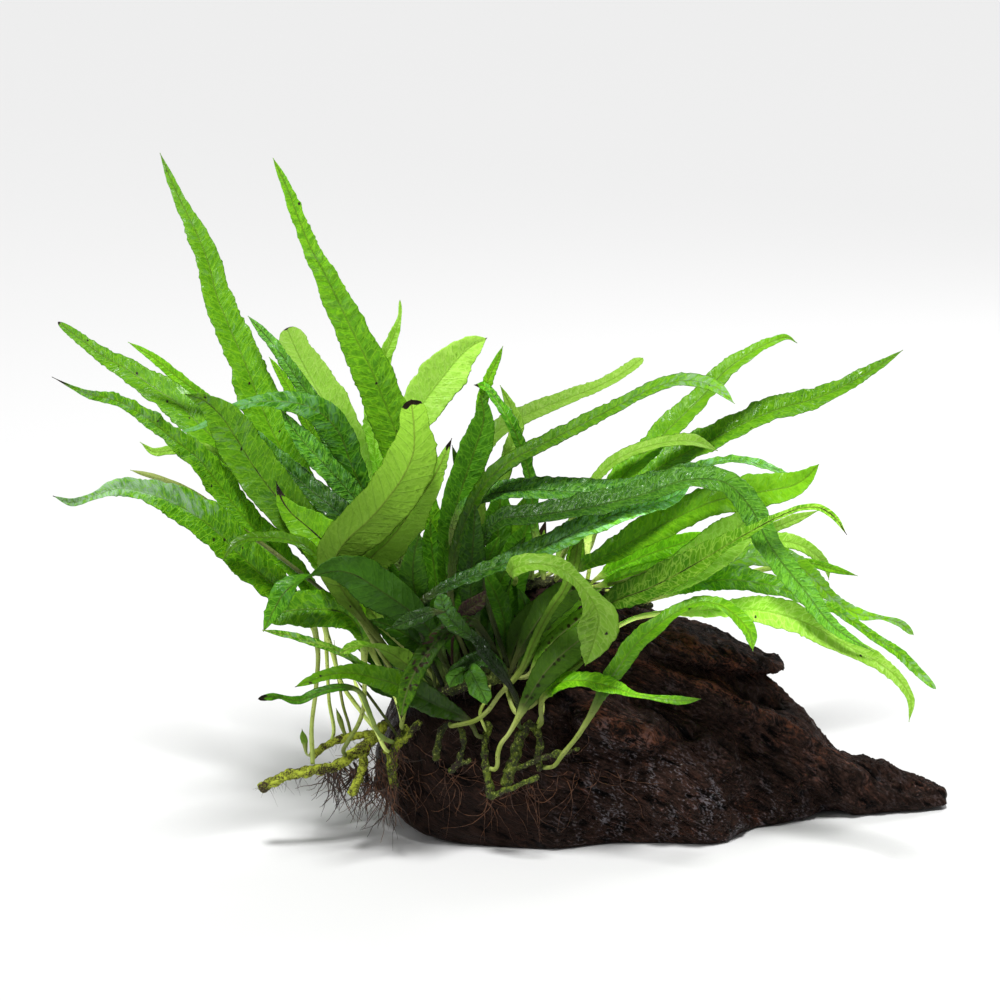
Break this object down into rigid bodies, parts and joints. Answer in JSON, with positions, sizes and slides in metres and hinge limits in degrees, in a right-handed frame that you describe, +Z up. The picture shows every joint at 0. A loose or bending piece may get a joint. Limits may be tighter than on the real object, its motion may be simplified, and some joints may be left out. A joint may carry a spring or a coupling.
{
  "type": "java fern on driftwood",
  "caption": "Narrow-leaved java fern whose creeping rhizomes grow over a dark, broken piece of driftwood that rests on its flat underside.",
  "frame": {"origin": "on the driftwood's flat underside, below its thickest part", "axes": "+Z up, +X along the driftwood towards its thin tail, +Y away from the side that the rhizomes hang over"},
  "size_m": [0.3043, 0.179, 0.2278],
  "materials": {
    "driftwood": "wet, dark, fibrous",
    "rhizome": "green, scaly, matt",
    "roots": "fine brown hairs",
    "leaf_bright": "thin young leaf, satin",
    "leaf_mid": "leaf, satin",
    "leaf_dark": "old leaf, wet gloss"
  },
  "bodies": {
    "root": {"driftwood": "driftwood", "frond_arched_dark": "leaf_dark", "frond_arching_front": "leaf_mid", "frond_back_left": "leaf_mid", "frond_back_right": "leaf_mid", "frond_bead_tip": "leaf_bright", "frond_blunt": "leaf_bright", "frond_bright_arch": "leaf_bright", "frond_bright_bent": "leaf_bright", "frond_bright_wide": "leaf_bright", "frond_broad_left": "leaf_bright", "frond_brown_midrib": "leaf_bright", "frond_centre_bright": "leaf_bright", "frond_centre_broad": "leaf_dark", "frond_dark_curl": "leaf_dark", "frond_dark_drooping": "leaf_dark", "frond_dark_narrow": "leaf_dark", "frond_dark_silver": "leaf_dark", "frond_dark_upright": "leaf_dark", "frond_folded_long": "leaf_mid", "frond_front_bright": "leaf_bright", "frond_front_low": "leaf_mid", "frond_front_mid": "leaf_mid", "frond_light_right": "leaf_bright", "frond_long_arch": "leaf_mid", "frond_low_left": "leaf_mid", "frond_low_right": "leaf_dark", "frond_lower_bright": "leaf_bright", "frond_mid_left": "leaf_mid", "frond_narrow_arch": "leaf_bright", "frond_narrow_blunt": "leaf_bright", "frond_narrow_silver": "leaf_dark", "frond_pale_stalk": "leaf_mid", "frond_pointing_left": "leaf_bright", "frond_right_long": "leaf_mid", "frond_right_upper": "leaf_bright", "frond_round_left": "leaf_mid", "frond_silver_right": "leaf_dark", "frond_silver_twist": "leaf_dark", "frond_spotted": "leaf_mid", "frond_tall_left": "leaf_mid", "frond_tall_right": "leaf_mid", "frond_thin_brown": "leaf_dark", "frond_twisted_glossy": "leaf_dark", "frond_twisted_pale": "leaf_mid", "frond_underside": "leaf_mid", "frond_upper_left": "leaf_bright", "frond_upper_silver": "leaf_dark", "frond_wide_behind": "leaf_bright", "frond_wrinkled": "leaf_dark", "frond_wrinkled_short": "leaf_dark", "rhizome_behind": "rhizome", "rhizome_forked": "rhizome", "rhizome_front_left": "rhizome", "rhizome_front_middle": "rhizome", "rhizome_front_right": "rhizome", "rhizome_left": "rhizome", "rhizome_over_front": "rhizome", "rhizome_over_top": "rhizome", "roots": "roots"}
  },
  "joints": []
}
